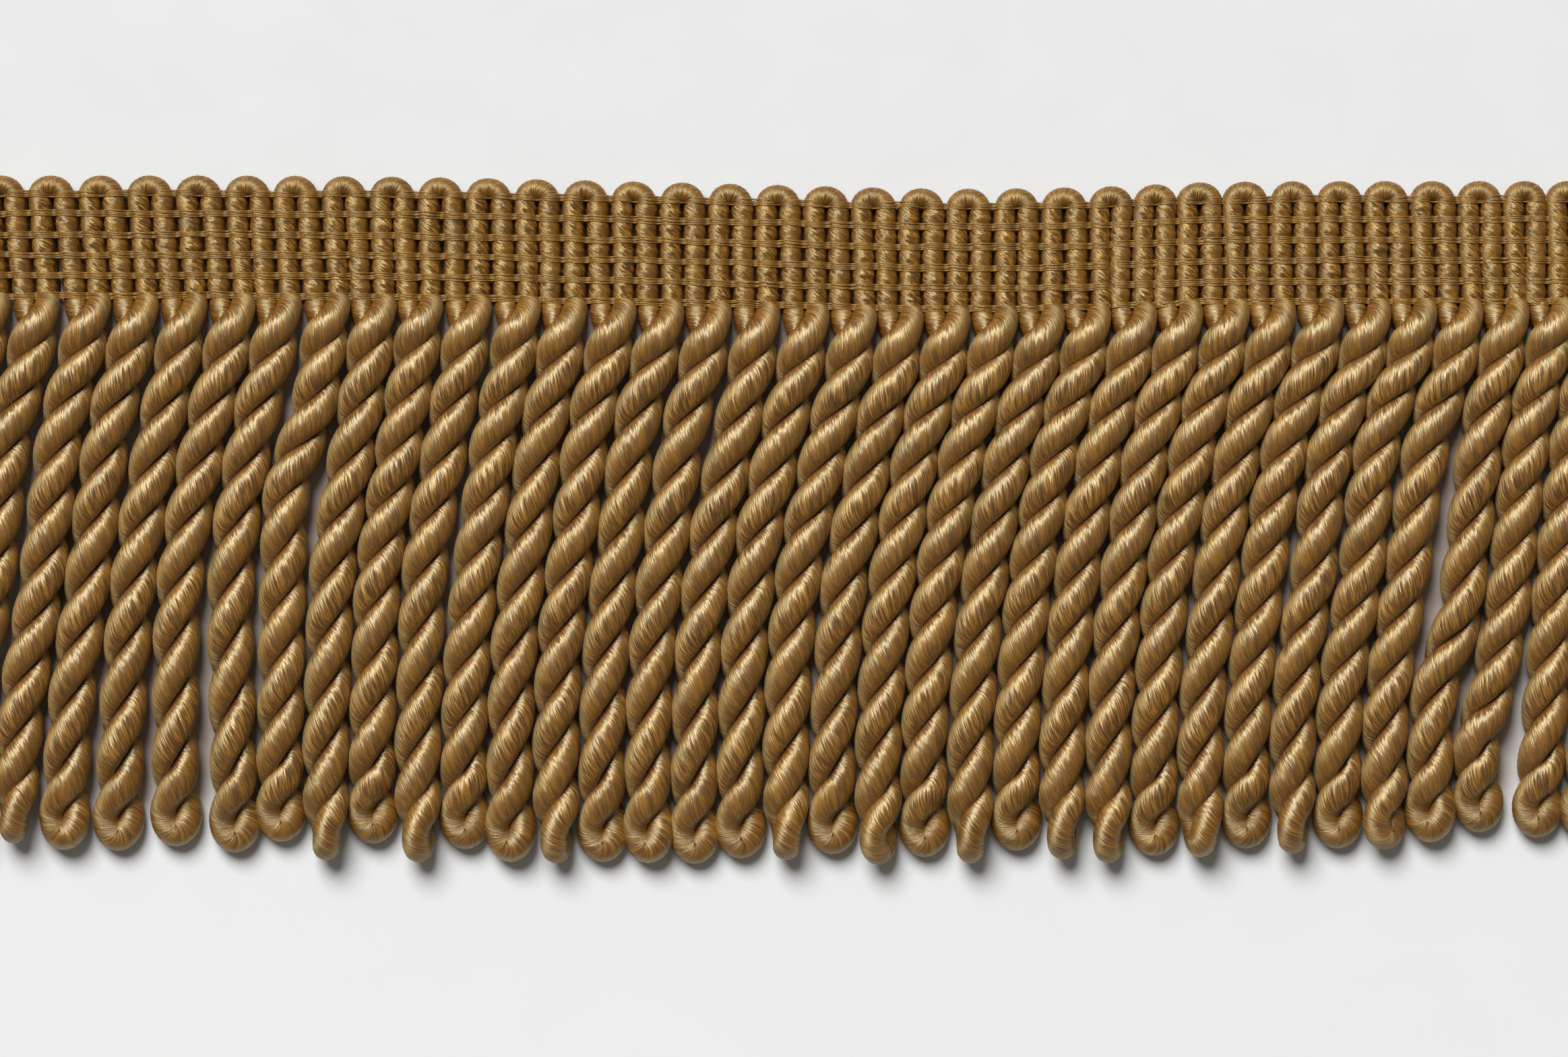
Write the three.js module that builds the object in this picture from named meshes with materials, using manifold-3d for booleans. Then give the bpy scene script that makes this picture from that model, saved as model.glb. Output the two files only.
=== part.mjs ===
// Bullion fringe trim: a cut length that lies flat and face up.
// One looping cord makes a ribbed heading with a scalloped top edge, and below
// the heading each loop twists on itself into a two-ply strand with a closed tip.
// Millimetres. +X runs along the trim, +Y points to the scallops, +Z is up.

import * as THREE from "three";
import { mergeVertices } from "three/addons/utils/BufferGeometryUtils.js";
import Module from "manifold-3d";

// Heading, in heights above its lowest binding row
const HEADING_HEIGHT = 13.4;
const SCALLOP_RISE = 1.9;
const SCALLOP_HALF_WIDTH = 2.35;
const NOTCH_HEIGHT = 11.2;
const HEADING_LOWER_LIP = 0.45;
const BINDING_ROWS = 5;
const BINDING_PITCH = 2.28;
const RIB_PITCH = 2.7;
const RIB_SHOULDER = 0.75;
const OUTER_RIB_EDGE = 1.3;
const RIB_BESIDE_ROOT = 0.2;
const CUT_END_ROUNDING = 0.7;
const SCALLOP_EDGE_ROLL = 0.6;
const NOTCH_EDGE_ROLL = 0.2;

// Heading, in thicknesses above the surface it lies on
const BEAD_CROWN = 2.55;
const BINDING_DIP = 2.05;
const SCALLOP_CROWN = 2.4;
const EDGE_THICKNESS = 1.2;
const GAP_AT_BEAD = 1.0;
const GAP_AT_BINDING = 1.3;

// Fringe
const PARTING_GAP = 0.3;
const STRIP_DEPTH = 1.5;
const STRIP_THICKNESS = 2.3;
const STRAND_RADIUS = 2.3;
const STRAND_FLATNESS_DEG = 32;
const STRAND_ROOT_INSET = 0.4;
const AXIS_BESIDE_ROOT = 1.5;
const STRAIGHT_START = 3.75;
const TURN_ABOVE_TIP = 2.7;
const TIP_SHOULDER_BELOW_TURN = 1.6;
const RINGS_PER_HALF_TURN = 3;
const EARLY_TWIST = 0.08;
const TIP_SHOULDER_SCALE = 0.96;
const TIP_END_SCALE = 0.5;
const CLEAR_PITCH = 4.95;
const ROUTE_STEP = 2.5;
const LONGEST_DROP = 65;
const EASING_PASSES = 200;
const STRIP_PIECES = 24;
const MERGE_DISTANCE = 1e-4;

// One row for each loop of the cord, from left to right. scallop is the middle of
// the arc that leaves this loop's front leg, and root is that leg at the heading's
// lower edge. The strand leans by the next four values, 15, 30 and 45 mm down and
// at its tip. drop is how far the tip hangs below the binding, and halfTurns is
// how often the two plies cross on the way.
const LOOPS = [
  { scallop: -92.9, root: -92.7, at15: -2.9, at30: -4.9, at45: -7.2, atTip: -8.2, drop: 60.5, halfTurns: 9 },
  { scallop: -87.4, root: -87.3, at15: -2.9, at30: -4.7, at45: -7.0, atTip: -8.0, drop: 61.0, halfTurns: 10 },
  { scallop: -81.9, root: -81.8, at15: -2.9, at30: -4.7, at45: -7.1, atTip: -8.3, drop: 60.8, halfTurns: 9.5 },
  { scallop: -76.4, root: -76.1, at15: -2.9, at30: -4.7, at45: -7.2, atTip: -8.2, drop: 60.3, halfTurns: 9.5 },
  { scallop: -70.9, root: -70.8, at15: -2.9, at30: -5.0, at45: -7.0, atTip: -8.0, drop: 61.1, halfTurns: 9.1 },
  { scallop: -65.4, root: -65.4, at15: -2.6, at30: -5.3, at45: -6.6, atTip: -7.4, drop: 61.2, halfTurns: 9 },
  { scallop: -60.0, root: -60.0, at15: -2.8, at30: -5.6, at45: -6.2, atTip: -6.2, drop: 60.7, halfTurns: 9 },
  { scallop: -54.6, root: -54.9, at15: -2.8, at30: -5.0, at45: -5.0, atTip: -4.5, drop: 61.4, halfTurns: 9 },
  { scallop: -49.2, root: -49.4, at15: -2.9, at30: -4.7, at45: -4.9, atTip: -3.8, drop: 60.2, halfTurns: 10 },
  { scallop: -43.8, root: -44.3, at15: -1.8, at30: -4.3, at45: -4.5, atTip: -4.0, drop: 62.2, halfTurns: 9.5 },
  { scallop: -38.4, root: -39.1, at15: -2.0, at30: -4.5, at45: -4.9, atTip: -4.3, drop: 60.4, halfTurns: 10 },
  { scallop: -33.0, root: -33.7, at15: -2.3, at30: -4.8, at45: -5.5, atTip: -4.9, drop: 62.4, halfTurns: 9.6 },
  { scallop: -27.6, root: -28.2, at15: -2.2, at30: -4.6, at45: -5.6, atTip: -6.0, drop: 61.0, halfTurns: 10 },
  { scallop: -22.2, root: -23.1, at15: -2.3, at30: -4.4, at45: -5.9, atTip: -5.6, drop: 62.4, halfTurns: 9.1 },
  { scallop: -16.8, root: -17.6, at15: -2.9, at30: -4.5, at45: -6.3, atTip: -6.3, drop: 62.5, halfTurns: 9.6 },
  { scallop: -11.4, root: -12.3, at15: -3.2, at30: -4.7, at45: -6.5, atTip: -6.7, drop: 62.4, halfTurns: 9 },
  { scallop: -6.0, root: -7.0, at15: -2.8, at30: -5.1, at45: -6.9, atTip: -7.3, drop: 62.5, halfTurns: 9.1 },
  { scallop: -0.7, root: -1.6, at15: -2.4, at30: -5.6, at45: -6.9, atTip: -7.1, drop: 62.6, halfTurns: 9 },
  { scallop: 4.6, root: 3.9, at15: -2.9, at30: -6.1, at45: -7.0, atTip: -6.8, drop: 62.0, halfTurns: 9 },
  { scallop: 9.9, root: 9.2, at15: -2.6, at30: -6.2, at45: -7.3, atTip: -6.8, drop: 62.1, halfTurns: 9.5 },
  { scallop: 15.3, root: 14.4, at15: -2.5, at30: -6.1, at45: -7.1, atTip: -7.7, drop: 61.5, halfTurns: 9 },
  { scallop: 20.5, root: 19.6, at15: -2.7, at30: -6.0, at45: -7.4, atTip: -7.7, drop: 62.6, halfTurns: 9.7 },
  { scallop: 25.9, root: 24.9, at15: -3.2, at30: -6.3, at45: -7.7, atTip: -8.1, drop: 61.8, halfTurns: 10 },
  { scallop: 31.1, root: 30.1, at15: -3.4, at30: -6.2, at45: -7.4, atTip: -8.6, drop: 62.4, halfTurns: 9.5 },
  { scallop: 36.4, root: 35.7, at15: -4.1, at30: -6.7, at45: -8.2, atTip: -8.5, drop: 61.1, halfTurns: 10 },
  { scallop: 41.4, root: 40.2, at15: -3.1, at30: -5.6, at45: -7.5, atTip: -7.5, drop: 62.0, halfTurns: 9.6 },
  { scallop: 46.2, root: 45.2, at15: -2.9, at30: -6.2, at45: -7.5, atTip: -7.6, drop: 62.4, halfTurns: 9.6 },
  { scallop: 51.3, root: 50.7, at15: -3.4, at30: -6.8, at45: -8.0, atTip: -8.0, drop: 61.7, halfTurns: 10 },
  { scallop: 56.6, root: 55.8, at15: -3.6, at30: -6.2, at45: -7.4, atTip: -9.0, drop: 61.8, halfTurns: 9.4 },
  { scallop: 61.8, root: 61.2, at15: -4.2, at30: -6.4, at45: -8.3, atTip: -8.6, drop: 60.9, halfTurns: 10 },
  { scallop: 67.0, root: 66.6, at15: -4.3, at30: -6.2, at45: -8.7, atTip: -8.4, drop: 61.4, halfTurns: 9.6 },
  { scallop: 72.2, root: 71.7, at15: -4.1, at30: -6.0, at45: -8.5, atTip: -9.0, drop: 60.9, halfTurns: 10 },
  { scallop: 77.4, root: 77.0, at15: -3.8, at30: -6.2, at45: -8.6, atTip: -9.3, drop: 61.0, halfTurns: 9.8 },
  { scallop: 82.5, root: 81.9, at15: -2.6, at30: -4.8, at45: -8.3, atTip: -8.9, drop: 60.2, halfTurns: 9.1 },
  { scallop: 87.3, root: 86.6, at15: -2.3, at30: -4.2, at45: -6.5, atTip: -8.0, drop: 59.1, halfTurns: 10 },
  { scallop: 92.4, root: 91.8, at15: -2.7, at30: -4.3, at45: -5.6, atTip: -6.6, drop: 59.7, halfTurns: 10 },
  { scallop: 97.5, root: 97.0, at15: -2.6, at30: -4.2, at45: -5.5, atTip: -6.5, drop: 60.0, halfTurns: 9 },
];

// The few strands that kink sideways: the root they hang from, how far down the
// kink is, how far it shifts the strand, and over what length it fades
const KINKS = [
  { root: -49.4, drop: 12.5, shift: 0.9, reach: 4.5 },
  { root: -49.4, drop: 22.0, shift: -0.7, reach: 5.0 },
  { root: 9.2, drop: 34.0, shift: -0.5, reach: 7.0 },
  { root: 81.9, drop: 35.0, shift: 0.9, reach: 3.5 },
  { root: 86.6, drop: 49.5, shift: -1.5, reach: 4.0 },
];

// The heading bows gently: the height of its lowest binding row along the trim
const BOW = [
  { along: -100, height: 0.75 },
  { along: -58, height: 0.75 },
  { along: -35, height: 0.5 },
  { along: -6, height: -0.15 },
  { along: 18, height: -0.7 },
  { along: 36, height: -0.45 },
  { along: 48, height: 0.05 },
  { along: 78, height: 0.15 },
  { along: 102, height: 0.15 },
];

// A smooth curve through uneven stations, each a pair of place and value
function smoothThrough(stations, place) {
  const last = stations.length - 1;
  const slope = (index) => {
    const before = stations[Math.max(index - 1, 0)];
    const after = stations[Math.min(index + 1, last)];
    return (after[1] - before[1]) / (after[0] - before[0]);
  };
  const clamped = Math.min(Math.max(place, stations[0][0]), stations[last][0]);
  let index = 0;
  while (index < last - 1 && clamped > stations[index + 1][0]) index += 1;
  const [startPlace, startValue] = stations[index];
  const [endPlace, endValue] = stations[index + 1];
  const span = endPlace - startPlace;
  const t = (clamped - startPlace) / span;
  const eased = t * t * (3 - 2 * t);
  const startPull = t * (1 - t) * (1 - t) * span * slope(index);
  const endPull = t * t * (t - 1) * span * slope(index + 1);
  return startValue + (endValue - startValue) * eased + startPull + endPull;
}

const bowAt = (along) => smoothThrough(BOW.map(({ along: place, height }) => [place, height]), along);

// A closed mesh from shared points and triangles
function solidGeometry(points, triangles) {
  const geometry = new THREE.BufferGeometry();
  geometry.setAttribute("position", new THREE.Float32BufferAttribute(points.flat(), 3));
  geometry.setIndex(triangles.flat());
  return geometry;
}

// The cord's ribs through the heading, two for each loop, from left to right.
// Each keeps the arc over its top, or none where the cord was cut.
function headingRibs() {
  const half = RIB_PITCH / 2;
  const ribs = [];
  LOOPS.forEach((loop, index) => {
    const arcBefore = index > 0 ? LOOPS[index - 1].scallop : null;
    const arcAfter = index < LOOPS.length - 1 ? loop.scallop : null;
    const backLegTop = arcBefore === null ? loop.scallop - 3 * half : arcBefore + half;
    ribs.push({ top: backLegTop, bottom: loop.root - RIB_PITCH - RIB_BESIDE_ROOT, arc: arcBefore });
    ribs.push({ top: loop.scallop - half, bottom: loop.root - RIB_BESIDE_ROOT, arc: arcAfter });
  });
  return ribs;
}

// The lines that run down the heading: the slot left of each rib and the rib's
// two shoulders, then the outer edge of the last rib
function headingLines(ribs) {
  const lines = [];
  ribs.forEach((rib, index) => {
    const before = ribs[index - 1];
    const underArc = before !== undefined && rib.arc !== null && before.arc === rib.arc;
    const slotTop = before ? (before.top + rib.top) / 2 : rib.top - OUTER_RIB_EDGE;
    const slotBottom = before ? (before.bottom + rib.bottom) / 2 : rib.bottom - OUTER_RIB_EDGE;
    lines.push({ top: slotTop, bottom: slotBottom, arc: rib.arc, kind: underArc ? "slot" : "notch" });
    for (const side of [-RIB_SHOULDER, RIB_SHOULDER]) {
      lines.push({ top: rib.top + side, bottom: rib.bottom + side, arc: rib.arc, kind: "rib" });
    }
  });
  const end = ribs[ribs.length - 1];
  const edge = OUTER_RIB_EDGE;
  lines.push({ top: end.top + edge, bottom: end.bottom + edge, arc: null, kind: "notch" });
  return lines;
}

// Height and thickness down one line, from the scalloped edge to the lower lip
function linePoints(line) {
  const isNotch = line.kind === "notch";
  const isRib = line.kind === "rib";
  const reach = line.arc === null ? SCALLOP_HALF_WIDTH * CUT_END_ROUNDING : line.top - line.arc;
  const across = Math.min(Math.abs(reach) / SCALLOP_HALF_WIDTH, 1);
  const crown = HEADING_HEIGHT - SCALLOP_RISE * (1 - Math.sqrt(1 - across * across));
  const atBinding = isRib ? BINDING_DIP : GAP_AT_BINDING;
  const edge = isNotch ? NOTCH_HEIGHT : crown;
  const roll = isNotch ? NOTCH_EDGE_ROLL : SCALLOP_EDGE_ROLL;
  const rows = [
    [edge, EDGE_THICKNESS],
    [edge - roll, isNotch ? EDGE_THICKNESS : SCALLOP_CROWN],
    isNotch ? [edge - 2 * roll, atBinding] : [BINDING_ROWS * BINDING_PITCH, BINDING_DIP],
  ];
  for (let row = BINDING_ROWS; row > 0; row -= 1) {
    rows.push([(row - 0.5) * BINDING_PITCH, isRib ? BEAD_CROWN : GAP_AT_BEAD]);
    rows.push([(row - 1) * BINDING_PITCH, atBinding]);
  }
  rows.push([-HEADING_LOWER_LIP, atBinding]);
  return rows;
}

// The heading: a flat underside, upright edges and a ribbed, beaded face
function headingGeometry() {
  const lines = headingLines(headingRibs());
  const points = [];
  const triangles = [];
  const rowCount = linePoints(lines[0]).length;
  for (const line of lines) {
    for (const [height, thickness] of linePoints(line)) {
      const along = THREE.MathUtils.lerp(line.bottom, line.top, height / HEADING_HEIGHT);
      points.push([along, height + bowAt(along), thickness]);
    }
  }
  const faceCount = points.length;
  for (let index = 0; index < lines.length; index += 1) {
    const top = points[index * rowCount];
    const bottom = points[index * rowCount + rowCount - 1];
    points.push([top[0], top[1], 0], [bottom[0], bottom[1], 0]);
  }
  const quad = (a, b, c, d) => triangles.push([a, b, c], [a, c, d]);
  for (let index = 0; index < lines.length - 1; index += 1) {
    const left = index * rowCount;
    const right = left + rowCount;
    for (let row = 0; row < rowCount - 1; row += 1) {
      quad(left + row, left + row + 1, right + row + 1, right + row);
    }
    const [topLeft, bottomLeft] = [faceCount + 2 * index, faceCount + 2 * index + 1];
    const [topRight, bottomRight] = [topLeft + 2, bottomLeft + 2];
    quad(topLeft, left, right, topRight);
    quad(left + rowCount - 1, bottomLeft, bottomRight, right + rowCount - 1);
    quad(topLeft, topRight, bottomRight, bottomLeft);
  }
  const lastLine = (lines.length - 1) * rowCount;
  const lastBase = faceCount + 2 * (lines.length - 1);
  for (let row = 0; row < rowCount - 1; row += 1) {
    triangles.push([faceCount, row + 1, row]);
    triangles.push([lastBase, lastLine + row, lastLine + row + 1]);
  }
  triangles.push([faceCount, faceCount + 1, rowCount - 1]);
  triangles.push([lastBase, lastLine + rowCount - 1, lastBase + 1]);
  return solidGeometry(points, triangles);
}

// Where each strand's axis lies at even steps down the fringe, before the strands
// are eased apart
function measuredRoute(loop) {
  const start = loop.root - AXIS_BESIDE_ROOT;
  const leans = [
    [0, 0],
    [STRAIGHT_START, 0],
    [15, loop.at15],
    [30, loop.at30],
    [45, loop.at45],
    [loop.drop, loop.atTip],
  ];
  const kinks = KINKS.filter((kink) => kink.root === loop.root);
  const route = [];
  for (let drop = 0; drop <= LONGEST_DROP; drop += ROUTE_STEP) {
    const fade = (kink) => kink.shift * Math.exp(-(((drop - kink.drop) / kink.reach) ** 2));
    const kinked = kinks.reduce((sum, kink) => sum + fade(kink), 0);
    route.push(start + smoothThrough(leans, drop) + kinked);
  }
  return route;
}

// Neighbours that would touch are pushed apart, a little at a time
function easedRoutes() {
  const routes = LOOPS.map(measuredRoute);
  for (let step = 0; step < routes[0].length; step += 1) {
    for (let pass = 0; pass < EASING_PASSES; pass += 1) {
      for (let index = 0; index < routes.length - 1; index += 1) {
        const short = CLEAR_PITCH - (routes[index + 1][step] - routes[index][step]);
        if (short <= 0) continue;
        routes[index][step] -= short / 2;
        routes[index + 1][step] += short / 2;
      }
    }
  }
  return routes;
}

// One strand: a four-sided bar that twists as the two plies do, with a blunt tip
function strandGeometry(loop, route) {
  const turnDrop = loop.drop - TURN_ABOVE_TIP;
  const rootDrop = HEADING_LOWER_LIP + PARTING_GAP + STRAND_ROOT_INSET;
  const steps = Math.round(loop.halfTurns * RINGS_PER_HALF_TURN);
  const stations = route.map((along, index) => [index * ROUTE_STEP, along]);
  const rings = [];
  for (let step = 0; step <= steps; step += 1) {
    const drop = THREE.MathUtils.lerp(rootDrop, turnDrop, step / steps);
    const part = drop / turnDrop;
    const turns = loop.halfTurns * (part + EARLY_TWIST * part * (1 - part));
    rings.push({ drop, turn: Math.PI * turns, scale: 1 });
  }
  const lastTurn = rings[steps].turn;
  rings.push({ drop: turnDrop + TIP_SHOULDER_BELOW_TURN, turn: lastTurn, scale: TIP_SHOULDER_SCALE });
  rings.push({ drop: loop.drop, turn: lastTurn, scale: TIP_END_SCALE });
  const flatness = THREE.MathUtils.degToRad(STRAND_FLATNESS_DEG);
  const corners = [flatness, Math.PI - flatness, Math.PI + flatness, -flatness];
  const depths = rings.flatMap(({ turn, scale }) => (
    corners.map((corner) => -STRAND_RADIUS * scale * Math.sin(corner + turn))
  ));
  const axisHeight = Math.max(...depths);
  const points = [];
  for (const { drop, turn, scale } of rings) {
    const along = smoothThrough(stations, drop);
    for (const corner of corners) {
      const side = STRAND_RADIUS * scale * Math.cos(corner + turn);
      const rise = STRAND_RADIUS * scale * Math.sin(corner + turn);
      points.push([along + side, bowAt(along) * (1 - drop / loop.drop) - drop, axisHeight + rise]);
    }
  }
  const triangles = [];
  const ringSize = corners.length;
  for (let ring = 0; ring < rings.length - 1; ring += 1) {
    for (let side = 0; side < ringSize; side += 1) {
      const here = ring * ringSize + side;
      const next = ring * ringSize + ((side + 1) % ringSize);
      triangles.push([here, next, here + ringSize], [next, next + ringSize, here + ringSize]);
    }
  }
  const end = points.length - ringSize;
  triangles.push([0, 2, 1], [0, 3, 2], [end, end + 1, end + 2], [end, end + 2, end + 3]);
  return solidGeometry(points, triangles);
}

// The narrow strip, just below the heading, in which all roots are fused
function stripGeometry() {
  const ribs = headingRibs();
  const left = ribs[0].bottom - OUTER_RIB_EDGE;
  const right = ribs[ribs.length - 1].bottom + OUTER_RIB_EDGE;
  const pieces = STRIP_PIECES;
  const upper = -(HEADING_LOWER_LIP + PARTING_GAP);
  const points = [];
  const triangles = [];
  for (let piece = 0; piece <= pieces; piece += 1) {
    const along = THREE.MathUtils.lerp(left, right, piece / pieces);
    const bow = bowAt(along);
    points.push([along, bow + upper, 0], [along, bow + upper, STRIP_THICKNESS]);
    points.push([along, bow + upper - STRIP_DEPTH, STRIP_THICKNESS], [along, bow + upper - STRIP_DEPTH, 0]);
  }
  for (let piece = 0; piece < pieces; piece += 1) {
    for (let side = 0; side < 4; side += 1) {
      const here = piece * 4 + side;
      const next = piece * 4 + ((side + 1) % 4);
      triangles.push([here, next, here + 4], [next, next + 4, here + 4]);
    }
  }
  const end = pieces * 4;
  triangles.push([0, 2, 1], [0, 3, 2], [end, end + 1, end + 2], [end, end + 2, end + 3]);
  return solidGeometry(points, triangles);
}

const wasm = await Module();
wasm.setup();

// Joining works on solids whose shared points are merged
function toSolid(geometry) {
  const merged = mergeVertices(geometry, MERGE_DISTANCE);
  const vertProperties = new Float32Array(merged.attributes.position.array);
  const triVerts = new Uint32Array(merged.index.array);
  return new wasm.Manifold(new wasm.Mesh({ numProp: 3, vertProperties, triVerts }));
}

function fromSolid(solid) {
  const mesh = solid.getMesh();
  const geometry = new THREE.BufferGeometry();
  geometry.setAttribute("position", new THREE.BufferAttribute(mesh.vertProperties, 3));
  geometry.setIndex(new THREE.BufferAttribute(mesh.triVerts, 1));
  return geometry;
}

// The fringe: every strand joined to the strip at its root
function fringeGeometry() {
  const routes = easedRoutes();
  const strands = LOOPS.map((loop, index) => toSolid(strandGeometry(loop, routes[index])));
  const fringe = strands.reduce((joined, strand) => joined.add(strand), toSolid(stripGeometry()));
  return fromSolid(fringe);
}

const goldYarn = new THREE.MeshStandardMaterial({ color: 0x8f6a36, roughness: 0.55, metalness: 0 });
const paleGoldYarn = new THREE.MeshStandardMaterial({ color: 0x9a743c, roughness: 0.5, metalness: 0 });

const heading = new THREE.Mesh(headingGeometry(), goldYarn);
heading.name = "heading";

const fringe = new THREE.Mesh(fringeGeometry(), paleGoldYarn);
fringe.name = "fringe";

// The origin is under the middle of the trim, on the surface it lies on
const trim = new THREE.Group();
trim.add(heading, fringe);
const extent = new THREE.Box3().setFromObject(trim);
const middle = extent.getCenter(new THREE.Vector3());
trim.position.set(-middle.x, -middle.y, -extent.min.z);
trim.updateMatrixWorld(true);

export default trim;
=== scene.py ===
# %% [markdown]
# Bullion fringe trim.
# A furnishing trim with two parts: a flat ribbed heading, and the bullions, which are
# thick twisted strands that hang from it and end in closed loops. All of it is one satin
# cord, wound back and forth, and some fine thread that binds the heading.
# The solid model is loaded first and stays fixed. Everything below is made over it, in
# metres, from the same few measured sizes, so each piece lands where the solid is.

# %% Load the solid model
import math
from collections import namedtuple

import bpy
import numpy as np
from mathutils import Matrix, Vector


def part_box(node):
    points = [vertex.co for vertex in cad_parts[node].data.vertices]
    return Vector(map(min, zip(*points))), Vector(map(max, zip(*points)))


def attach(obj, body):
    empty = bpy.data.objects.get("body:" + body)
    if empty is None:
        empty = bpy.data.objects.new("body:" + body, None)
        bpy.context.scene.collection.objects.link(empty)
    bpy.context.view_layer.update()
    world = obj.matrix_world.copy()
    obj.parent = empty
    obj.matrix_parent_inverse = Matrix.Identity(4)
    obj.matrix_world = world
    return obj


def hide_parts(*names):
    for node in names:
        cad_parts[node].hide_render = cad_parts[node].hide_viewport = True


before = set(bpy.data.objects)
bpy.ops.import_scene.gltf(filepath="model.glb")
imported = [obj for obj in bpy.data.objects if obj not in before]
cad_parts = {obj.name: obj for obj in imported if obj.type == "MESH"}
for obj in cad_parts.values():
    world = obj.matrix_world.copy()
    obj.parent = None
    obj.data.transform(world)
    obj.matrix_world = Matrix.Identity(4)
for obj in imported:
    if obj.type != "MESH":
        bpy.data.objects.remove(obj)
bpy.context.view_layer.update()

MM = 0.001

# %% [markdown]
# The plan.
# Sizes were read off the trim in millimetres, along it (x) and down from the heading's
# lowest binding row (y). Two edges of the heading are known in that plan and in the solid
# model, and the step between them is the move from one to the other.

# %% Place the plan in the model
PLAN_RIGHT_EDGE = 98.12
PLAN_TOP_EDGE = 14.15
_, heading_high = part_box("heading")
PLAN_SHIFT = np.array([heading_high.x / MM - PLAN_RIGHT_EDGE, heading_high.y / MM - PLAN_TOP_EDGE, 0.0])
print("plan shift, mm:", np.round(PLAN_SHIFT, 2))

# %% [markdown]
# The cord's loops.
# One row for each loop, from left to right: the middle of the scallop that follows it,
# the place of its front leg at the heading, how far the strand leans 15, 30 and 45 mm
# down and at its tip, how far the tip hangs below the binding, and how many half turns
# its two plies make. Real fringe is made by hand and combed by hand, so no two loops are
# alike, and this table is what keeps the row from looking like copies of one strand.

# %% The measured loops
Loop = namedtuple("Loop", "scallop root at15 at30 at45 at_tip drop half_turns")
LOOPS = [
    Loop(-92.9, -92.7, -2.9, -4.9, -7.2, -8.2, 60.5, 9),
    Loop(-87.4, -87.3, -2.9, -4.7, -7.0, -8.0, 61.0, 10),
    Loop(-81.9, -81.8, -2.9, -4.7, -7.1, -8.3, 60.8, 9.5),
    Loop(-76.4, -76.1, -2.9, -4.7, -7.2, -8.2, 60.3, 9.5),
    Loop(-70.9, -70.8, -2.9, -5.0, -7.0, -8.0, 61.1, 9.1),
    Loop(-65.4, -65.4, -2.6, -5.3, -6.6, -7.4, 61.2, 9),
    Loop(-60.0, -60.0, -2.8, -5.6, -6.2, -6.2, 60.7, 9),
    Loop(-54.6, -54.9, -2.8, -5.0, -5.0, -4.5, 61.4, 9),
    Loop(-49.2, -49.4, -2.9, -4.7, -4.9, -3.8, 60.2, 10),
    Loop(-43.8, -44.3, -1.8, -4.3, -4.5, -4.0, 62.2, 9.5),
    Loop(-38.4, -39.1, -2.0, -4.5, -4.9, -4.3, 60.4, 10),
    Loop(-33.0, -33.7, -2.3, -4.8, -5.5, -4.9, 62.4, 9.6),
    Loop(-27.6, -28.2, -2.2, -4.6, -5.6, -6.0, 61.0, 10),
    Loop(-22.2, -23.1, -2.3, -4.4, -5.9, -5.6, 62.4, 9.1),
    Loop(-16.8, -17.6, -2.9, -4.5, -6.3, -6.3, 62.5, 9.6),
    Loop(-11.4, -12.3, -3.2, -4.7, -6.5, -6.7, 62.4, 9),
    Loop(-6.0, -7.0, -2.8, -5.1, -6.9, -7.3, 62.5, 9.1),
    Loop(-0.7, -1.6, -2.4, -5.6, -6.9, -7.1, 62.6, 9),
    Loop(4.6, 3.9, -2.9, -6.1, -7.0, -6.8, 62.0, 9),
    Loop(9.9, 9.2, -2.6, -6.2, -7.3, -6.8, 62.1, 9.5),
    Loop(15.3, 14.4, -2.5, -6.1, -7.1, -7.7, 61.5, 9),
    Loop(20.5, 19.6, -2.7, -6.0, -7.4, -7.7, 62.6, 9.7),
    Loop(25.9, 24.9, -3.2, -6.3, -7.7, -8.1, 61.8, 10),
    Loop(31.1, 30.1, -3.4, -6.2, -7.4, -8.6, 62.4, 9.5),
    Loop(36.4, 35.7, -4.1, -6.7, -8.2, -8.5, 61.1, 10),
    Loop(41.4, 40.2, -3.1, -5.6, -7.5, -7.5, 62.0, 9.6),
    Loop(46.2, 45.2, -2.9, -6.2, -7.5, -7.6, 62.4, 9.6),
    Loop(51.3, 50.7, -3.4, -6.8, -8.0, -8.0, 61.7, 10),
    Loop(56.6, 55.8, -3.6, -6.2, -7.4, -9.0, 61.8, 9.4),
    Loop(61.8, 61.2, -4.2, -6.4, -8.3, -8.6, 60.9, 10),
    Loop(67.0, 66.6, -4.3, -6.2, -8.7, -8.4, 61.4, 9.6),
    Loop(72.2, 71.7, -4.1, -6.0, -8.5, -9.0, 60.9, 10),
    Loop(77.4, 77.0, -3.8, -6.2, -8.6, -9.3, 61.0, 9.8),
    Loop(82.5, 81.9, -2.6, -4.8, -8.3, -8.9, 60.2, 9.1),
    Loop(87.3, 86.6, -2.3, -4.2, -6.5, -8.0, 59.1, 10),
    Loop(92.4, 91.8, -2.7, -4.3, -5.6, -6.6, 59.7, 10),
    Loop(97.5, 97.0, -2.6, -4.2, -5.5, -6.5, 60.0, 9),
]
Kink = namedtuple("Kink", "root drop shift reach")
KINKS = [
    Kink(-49.4, 12.5, 0.9, 4.5),
    Kink(-49.4, 22.0, -0.7, 5.0),
    Kink(9.2, 34.0, -0.5, 7.0),
    Kink(81.9, 35.0, 0.9, 3.5),
    Kink(86.6, 49.5, -1.5, 4.0),
]
print("loops:", len(LOOPS), "mean drop, mm:", round(sum(loop.drop for loop in LOOPS) / len(LOOPS), 1))

# %% [markdown]
# The heading's bow.
# A trim that is simply laid down is never quite straight. The lowest binding row rises
# and dips by under a millimetre along the length, and a smooth curve through nine
# measured heights carries the whole heading with it. The same curve-through-points
# helper also gives each strand its lean.

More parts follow.
